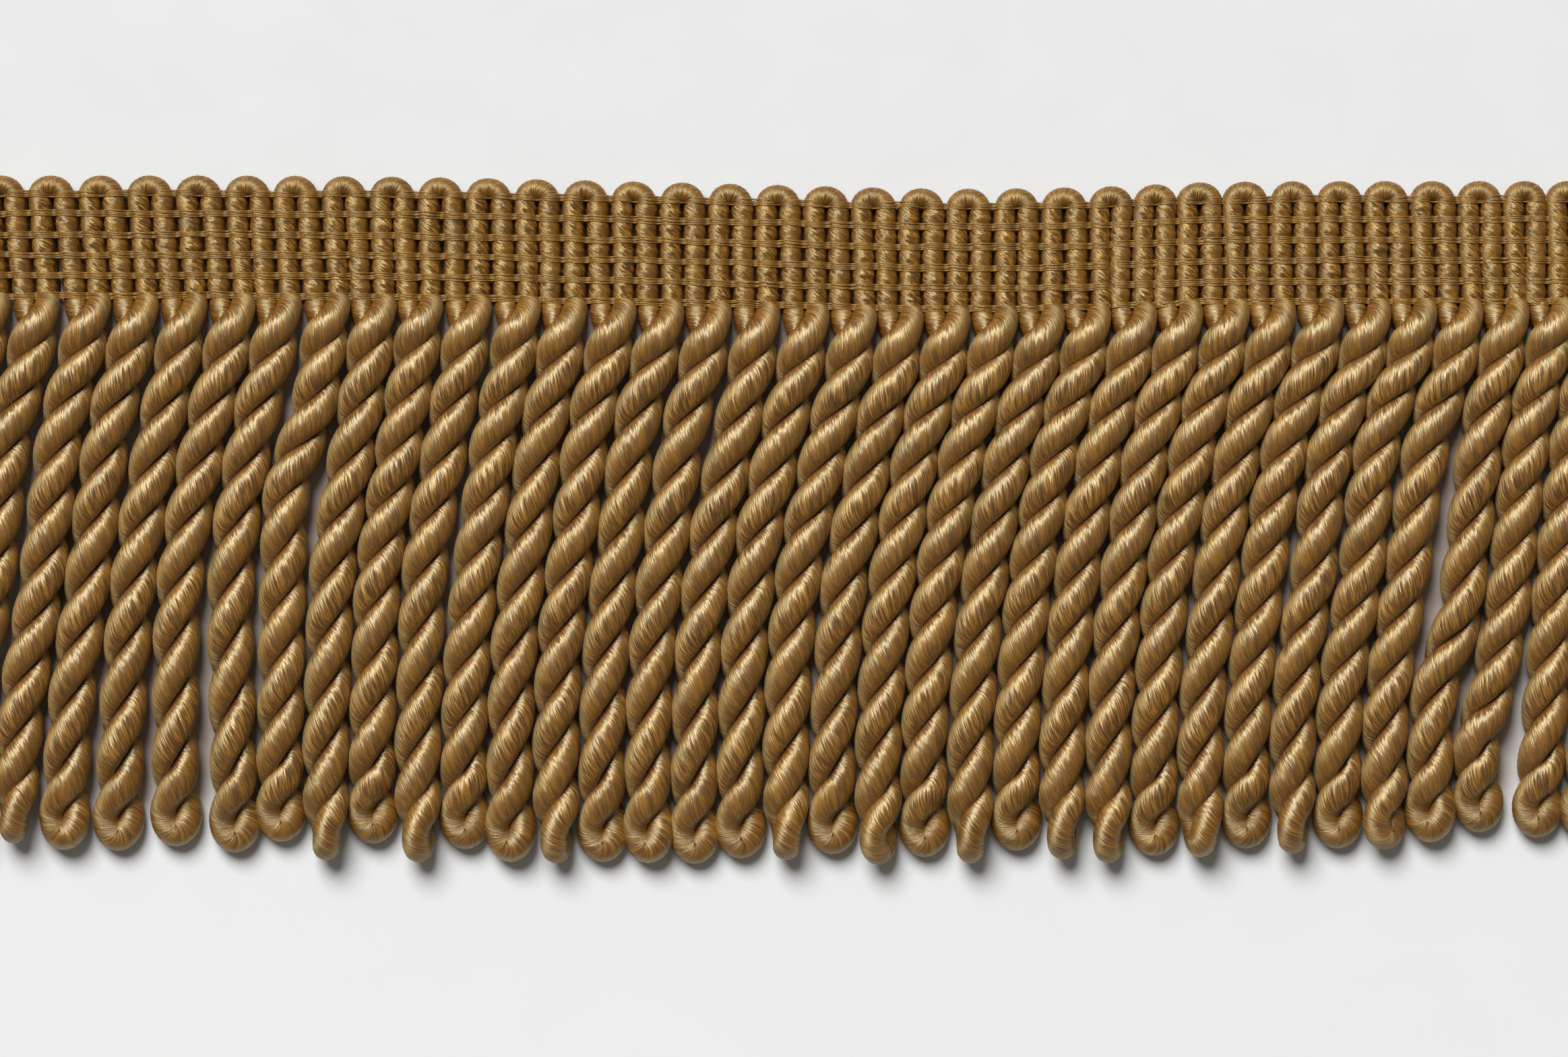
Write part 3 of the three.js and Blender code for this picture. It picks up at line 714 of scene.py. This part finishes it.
def heading_cord_tube(left, right, start_length):
    """Up one rib, over the scallop and down the next rib. A missing rib is a cut end."""
    heights = np.linspace(RIB_START, ARC_START, round((ARC_START - RIB_START) / RIB_STEP), endpoint=False)
    pieces, outs, sides, windings = [], [], [], []
    if left is not None:
        pieces.append(rib_points(left, heights))
        outs.append(rib_radius(left, heights, BEAD_DEPTH))
        sides.append(rib_radius(left, heights, BEAD_RADIUS))
        windings.append(np.full(len(heights), WINDING_IN_RIB))
    if left is not None and right is not None:
        swing = np.linspace(0, math.pi, RINGS_IN_ARC)
        start = rib_points(left, np.array([ARC_START]))[0]
        end = rib_points(right, np.array([ARC_START]))[0]
        middle, half = (start + end) / 2, (end - start) / 2
        arc = middle - np.cos(swing)[:, None] * half + np.sin(swing)[:, None] * np.array([0, ARC_RISE, 0])
        pieces.append(arc)
        outs.append(np.full(len(arc), ARC_CORD_DEPTH))
        sides.append(np.full(len(arc), ARC_CORD_RADIUS))
        windings.append(np.full(len(arc), WINDING_IN_ARC))
    if right is not None:
        pieces.append(rib_points(right, heights)[::-1])
        outs.append(rib_radius(right, heights, BEAD_DEPTH)[::-1])
        sides.append(rib_radius(right, heights, BEAD_RADIUS)[::-1])
        windings.append(np.full(len(heights), WINDING_IN_RIB))
    centres, out, side = np.concatenate(pieces), np.concatenate(outs), np.concatenate(sides)
    winding = np.concatenate(windings)
    up = np.tile(UP, (len(centres), 1))
    belly = np.where(winding == WINDING_IN_RIB, BELLY_GAIN * (BELLY_REACH / side - BELLY_START), 0)
    # Painted shade on the lower half of each rib, which shows in the slots between ribs, weaker round the
    # scallop arcs.
    crease_shade_strength = np.where(winding == WINDING_IN_RIB, 1.0, SHADE_IN_ARC)
    return sweep(centres, up, out, out, side, winding, start_length, SIDES_OF_RIB,
                 squareness=RIB_SQUARENESS, belly=belly, crease_shade_strength=crease_shade_strength, crease_shade_reach=SLOT_SHADE_REACH)


heading_tubes = [heading_cord_tube(None, ribs[0], 0.0)]
for left, right in zip(ribs[1:-1:2], ribs[2::2]):
    heading_tubes.append(heading_cord_tube(left, right, heading_tubes[-1]["length"]))
heading_tubes.append(heading_cord_tube(ribs[-1], None, heading_tubes[-1]["length"]))
heading_piece = join_tubes("heading_cord", heading_tubes, heading_material)
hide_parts("heading")
print("cord in the heading, m:", round(heading_tubes[-1]["length"] / 1000, 2))

# %% [markdown]
# The binding.
# Fine threads hold the ribs side by side. Each of the six rows has four that run over the
# face and two behind. A thread climbs slowly over each rib from its left side and sinks fast at
# the right, so it shines on the right of the rib. Painted shade makes it brown on the left of the rib and
# darkest in the slots between ribs.

# %% Binding threads
THREAD_RADIUS = 0.105
THREAD_SPACING = 0.19
POINTS_PER_RIB = 7
THREAD_OVER_RIB = 2.43
THREAD_IN_SLOT = 1.3
THREAD_UNDER_RIB = 0.2
THREAD_CREST = 0.58
SHADE_PLACES = (0, 0.15, 0.45, 0.6, 0.85, 1)
SHADE_SHARES = (1, 0.6, 0.3, 0, 0, 1)
THREAD_WINDING = 6.0
THREAD_WANDER = 0.045
THREAD_SIDES = 5
THREAD_ROUNDNESS = 0.7
BELOW_THE_COVER = 0.2
THREAD_GRAIN_STEP = 40.0
THREADS_IN_ROW = [(-1.5, True), (-0.5, True), (0.5, True), (1.5, True), (-0.8, False), (0.8, False)]


def thread_tube(row, offset, over, start_length):
    height = ROW_HEIGHTS[row] + offset
    centres_of_ribs = np.array([rib_points(rib, np.array([height]))[0, 0] for rib in ribs])
    index = np.arange(0, len(ribs) - 1 + 0.001, 1 / POINTS_PER_RIB)
    across = np.interp(index, np.arange(len(ribs)), centres_of_ribs)
    ends = np.array([-1.1, -0.6])
    across = np.concatenate([across[0] + ends, across, across[-1] - ends[::-1]])
    index = np.concatenate([[-0.4, -0.2], index, [len(ribs) - 0.8, len(ribs) - 0.6]])
    place = np.mod(index + 0.5, 1)
    sinking = 1 + (place - THREAD_CREST) / (1 - THREAD_CREST)
    climb = np.where(place < THREAD_CREST, place / THREAD_CREST, sinking)
    over_rib = np.sin(climb * math.pi / 2) ** THREAD_ROUNDNESS
    if over:
        high = THREAD_IN_SLOT + (THREAD_OVER_RIB - THREAD_IN_SLOT) * over_rib
    else:
        under_cover = RIB_MIDDLE_HEIGHT - BELOW_THE_COVER
        high = under_cover - (under_cover - THREAD_UNDER_RIB) * over_rib
    wander = row_shift[:, row] + rng.normal(0, THREAD_WANDER, len(ribs))
    wander = np.interp(index, np.arange(len(ribs)), wander)
    centres = np.stack([across, height + bow_at(across) + wander, high], 1)
    up = np.tile(UP, (len(centres), 1))
    radius = np.full(len(centres), THREAD_RADIUS)
    winding = np.full(len(centres), THREAD_WINDING)
    # Painted shade: full in the slots between ribs, fading across the left half of each rib, none on its
    # right.
    shade = np.interp(place, SHADE_PLACES, SHADE_SHARES)
    return sweep(centres, up, radius, radius, radius, winding, start_length, sides=THREAD_SIDES,
                 crease_shade_strength=shade, crease_shade_reach=1.0)


thread_tubes = []
for row in range(BINDING_ROWS):
    for place, over in THREADS_IN_ROW:
        start_length = THREAD_GRAIN_STEP * len(thread_tubes)
        thread_tubes.append(thread_tube(row, place * THREAD_SPACING, over, start_length))
binding_piece = join_tubes("binding_threads", thread_tubes, thread_material)

# %% [markdown]
# Fibre ends.
# Cord that has been handled is never sharp at its edges: short fibres stand off it, most of
# all round the loops at the tips. Each one here is a thin spike of ten triangles, with a
# bend in its middle. They grow from the strands' own surface, thousands at once with array
# sums, since a hair system would not reach the exported mesh.

# %% Grow short fibres from the strands
FIBRES_PER_STRAND = 150
FIBRES_PER_TIP = 90
FIBRE_RADIUS = 0.010
FIBRE_LENGTH = 0.34
LIE_ALONG_CORD = 0.9
FIBRE_SCATTER = 0.5
FIBRE_BEND = 0.6
SHORTEST_FIBRE, LONGEST_FIBRE = 0.4, 1.5
MIDDLE_THICKNESS = 0.8


def fibre_roots(tube, sides, count, first_share, last_share):
    """Random points of a tube's surface with the way out and the way along at each."""
    rings = tube["points"][:-2].reshape(-1, sides, 3)
    middles = rings.mean(axis=1)
    ring = rng.integers(int(first_share * len(rings)) + 1, int(last_share * len(rings)) - 1, count)
    place = rng.integers(0, sides, count)
    roots = rings[ring, place]
    return roots, unit(roots - middles[ring]), unit(middles[ring + 1] - middles[ring])


def fibre_spikes(roots, outward, along):
    """Seven points and seven faces for each fibre: a bent spike on three sides."""
    count = len(roots)
    lie = rng.normal(0, LIE_ALONG_CORD, (count, 1)) * along + rng.normal(0, FIBRE_SCATTER, (count, 3))
    first = unit(outward + lie)
    second = unit(first + rng.normal(0, FIBRE_BEND, (count, 3)))
    length = FIBRE_LENGTH * rng.uniform(SHORTEST_FIBRE, LONGEST_FIBRE, (count, 1))
    middle = roots + first * length / 2
    tip = middle + second * length / 2
    east = unit(np.cross(first, rng.normal(0, 1, (count, 3))))
    north = np.cross(first, east)
    turns = (0, 2 * math.pi / 3, 4 * math.pi / 3)
    spread = [math.cos(turn) * east + math.sin(turn) * north for turn in turns]
    rows = [roots + FIBRE_RADIUS * way for way in spread]
    rows += [middle + MIDDLE_THICKNESS * FIBRE_RADIUS * way for way in spread] + [tip]
    return np.stack(rows, axis=1)


SPIKE_FACES = [(2, 1, 0), (0, 1, 4, 3), (1, 2, 5, 4), (2, 0, 3, 5), (3, 4, 6), (4, 5, 6), (5, 3, 6)]


def join_spikes(name, spikes, material):
    spikes = spikes[spikes[:, :, 2].min(axis=1) > 0]
    base = 7 * np.arange(len(spikes))[:, None]
    corners = [corner for face in SPIKE_FACES for corner in face]
    totals = np.tile([len(face) for face in SPIKE_FACES], len(spikes))
    mesh = bpy.data.meshes.new(name)
    mesh.vertices.add(7 * len(spikes))
    mesh.vertices.foreach_set("co", ((spikes.reshape(-1, 3) + PLAN_SHIFT) * MM).astype(np.float32).ravel())
    mesh.loops.add(len(corners) * len(spikes))
    mesh.loops.foreach_set("vertex_index", (base + np.array(corners)[None, :]).astype(np.int32).ravel())
    mesh.polygons.add(len(totals))
    mesh.polygons.foreach_set("loop_start", (np.cumsum(totals) - totals).astype(np.int32))
    mesh.polygons.foreach_set("loop_total", totals.astype(np.int32))
    mesh.update()
    mesh.validate()
    mesh.materials.append(material)
    piece = bpy.data.objects.new(name, mesh)
    bpy.context.scene.collection.objects.link(piece)
    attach(piece, "root")
    print(name, "fibres:", len(spikes), "triangles:", int((totals - 2).sum()))
    return piece


# %% Fibre material and the sets of fibres
FIBRE_COLOUR = (0.32, 0.18, 0.055, 1)
FIBRES_PER_SCALLOP = 45
FIBRES_PER_RIB_PAIR = 70
WHOLE_TUBE = (0.0, 1.0)
TIP_PART = (0.46, 0.54)
SCALLOP_PART = (0.44, 0.56)
fibre_material = bpy.data.materials.new("loose_fibre")
fibre_material.use_nodes = True
fibre_nodes = Nodes(fibre_material)
fibre_place = fibre_nodes.add("ShaderNodeTexCoord").outputs["Object"]
fibre_noise = fibre_nodes.add("ShaderNodeTexNoise", Vector=fibre_place, Scale=900.0, Detail=1.0)
fibre_tone = fibre_nodes.ramp(fibre_noise.outputs["Fac"], [(0.35, GOLD), (0.65, FIBRE_COLOUR[:3])])
fibre_shader = fibre_nodes.add("ShaderNodeBsdfPrincipled")
fibre_nodes.feed(fibre_shader, "Base Color", fibre_tone)
fibre_nodes.feed(fibre_shader, "Roughness", 0.55)
fibre_output = fibre_nodes.add("ShaderNodeOutputMaterial")
fibre_nodes.feed(fibre_output, "Surface", fibre_shader.outputs[0])
spike_sets = []
for tube in strand_tubes:
    spike_sets.append(fibre_spikes(*fibre_roots(tube, SIDES_OF_CORD, FIBRES_PER_STRAND, *WHOLE_TUBE)))
    spike_sets.append(fibre_spikes(*fibre_roots(tube, SIDES_OF_CORD, FIBRES_PER_TIP, *TIP_PART)))
for tube in heading_tubes[1:-1]:
    spike_sets.append(fibre_spikes(*fibre_roots(tube, SIDES_OF_RIB, FIBRES_PER_RIB_PAIR, *WHOLE_TUBE)))
    spike_sets.append(fibre_spikes(*fibre_roots(tube, SIDES_OF_RIB, FIBRES_PER_SCALLOP, *SCALLOP_PART)))
fibre_piece = join_spikes("loose_fibres", np.concatenate(spike_sets), fibre_material)

# %% [markdown]
# The heading is a band of cord and thread, made flat and laid flat.

# %% [markdown]
# Floor and light.
# A plain pale floor, in the grey of card, that strong light turns almost white. A floor of pure white
# would throw so much light back up that the strands lost their dark undersides. Towards the tips
# the floor is painted paler, as painted light.
# Between the strands the floor carries painted shade and painted bounce light: a darker
# brown tint, since the light that bounces off the cord here leaves it greyer than it should look.
# The tint ends before the outer strands do.
# One large soft light stands beyond the scalloped edge, about halfway up, so each ply is
# bright on its upper side and dark below. An even pale surround fills the shadows.

# %% Floor
FLOOR_SIZE = 8.0
FLOOR_DARKER = (0.61, 0.612, 0.611)
FLOOR_LIGHTER = (0.63, 0.632, 0.631)
PAINTED_LIGHT_NEAR_TIPS = (0.68, 0.682, 0.682)
PALEST_Y = -0.09
GREYEST_Y = 0.04
FLOOR_SHADE_BETWEEN_STRANDS = (0.42, 0.34, 0.305)
BROWN_LOW, BROWN_HIGH, BROWN_SIDE = -0.034, 0.030, 0.088
BROWN_FADE = 0.006
bpy.ops.mesh.primitive_plane_add(size=FLOOR_SIZE, location=(0, 0, 0))
floor = bpy.context.object
floor.name = "floor"
floor_material = bpy.data.materials.new("pale_floor")
floor_material.use_nodes = True
floor_nodes = Nodes(floor_material)
floor_grain = floor_nodes.add("ShaderNodeTexNoise", Scale=900.0, Detail=2.0)
floor_tone = floor_nodes.ramp(floor_grain.outputs["Fac"], [(0.3, FLOOR_DARKER), (0.7, FLOOR_LIGHTER)])
floor_place = floor_nodes.add("ShaderNodeTexCoord").outputs["Object"]
floor_parts = floor_nodes.add("ShaderNodeSeparateXYZ", Vector=floor_place)
floor_y = floor_parts.outputs["Y"]
floor_side = floor_nodes.math("ABSOLUTE", floor_parts.outputs["X"])


def floor_fade(place, start, end):
    fade = floor_nodes.add("ShaderNodeMapRange", Value=place)
    floor_nodes.feed(fade, "From Min", start)
    floor_nodes.feed(fade, "From Max", end)
    return fade.outputs[0]


# Painted light: the floor is made paler towards the tips and below them, as if more light fell there.
painted_light_share = floor_fade(floor_y, GREYEST_Y, PALEST_Y)
floor_tone = floor_nodes.mix(painted_light_share, floor_tone, (*PAINTED_LIGHT_NEAR_TIPS, 1))
# Painted shade and bounce light: a darker brown patch of floor under the strands, faded out at its edges.
painted_brown_shade = floor_nodes.math("MULTIPLY", floor_fade(floor_y, BROWN_LOW, BROWN_LOW + BROWN_FADE),
                         floor_fade(floor_y, BROWN_HIGH, BROWN_HIGH - BROWN_FADE))
painted_brown_shade = floor_nodes.math("MULTIPLY", painted_brown_shade, floor_fade(floor_side, BROWN_SIDE, BROWN_SIDE - BROWN_FADE))
floor_tone = floor_nodes.mix(painted_brown_shade, floor_tone, (*FLOOR_SHADE_BETWEEN_STRANDS, 1))
floor_shader = floor_nodes.add("ShaderNodeBsdfPrincipled")
floor_nodes.feed(floor_shader, "Base Color", floor_tone)
floor_nodes.feed(floor_shader, "Roughness", 0.9)
floor_nodes.feed(floor_shader, "Specular IOR Level", 0.1)
floor_output = floor_nodes.add("ShaderNodeOutputMaterial")
floor_nodes.feed(floor_output, "Surface", floor_shader.outputs[0])
floor.data.materials.append(floor_material)

# %% Lights and colours
LIGHT_DISTANCE = 4.0
LIGHT_ELEVATION = 52.0
LIGHT_AZIMUTH = 24.0
KEY_SIZE = 2.4
KEY_POWER = 251.0
FILL = 0.17


def soft_light(name, azimuth, elevation, distance, size, power, colour):
    data = bpy.data.lights.new(name, "AREA")
    data.shape = "DISK"
    data.size = size
    data.energy = power
    data.color = colour
    lamp = bpy.data.objects.new(name, data)
    turn, tilt = math.radians(azimuth), math.radians(elevation)
    away = Vector((-math.sin(turn) * math.cos(tilt), math.cos(turn) * math.cos(tilt), math.sin(tilt)))
    lamp.location = away * distance
    lamp.rotation_mode = "QUATERNION"
    lamp.rotation_quaternion = away.to_track_quat("Z", "Y")
    bpy.context.scene.collection.objects.link(lamp)
    return lamp


soft_light("key", LIGHT_AZIMUTH, LIGHT_ELEVATION, LIGHT_DISTANCE, KEY_SIZE, KEY_POWER, (0.98, 0.99, 1.0))
world = bpy.data.worlds.new("surround")
bpy.context.scene.world = world
world.use_nodes = True
world.node_tree.nodes["Background"].inputs["Color"].default_value = (1.0, 0.95, 0.86, 1)
world.node_tree.nodes["Background"].inputs["Strength"].default_value = FILL
bpy.context.scene.view_settings.view_transform = "Standard"
bpy.context.scene.view_settings.look = "None"
print("lights: 1, fill", FILL)
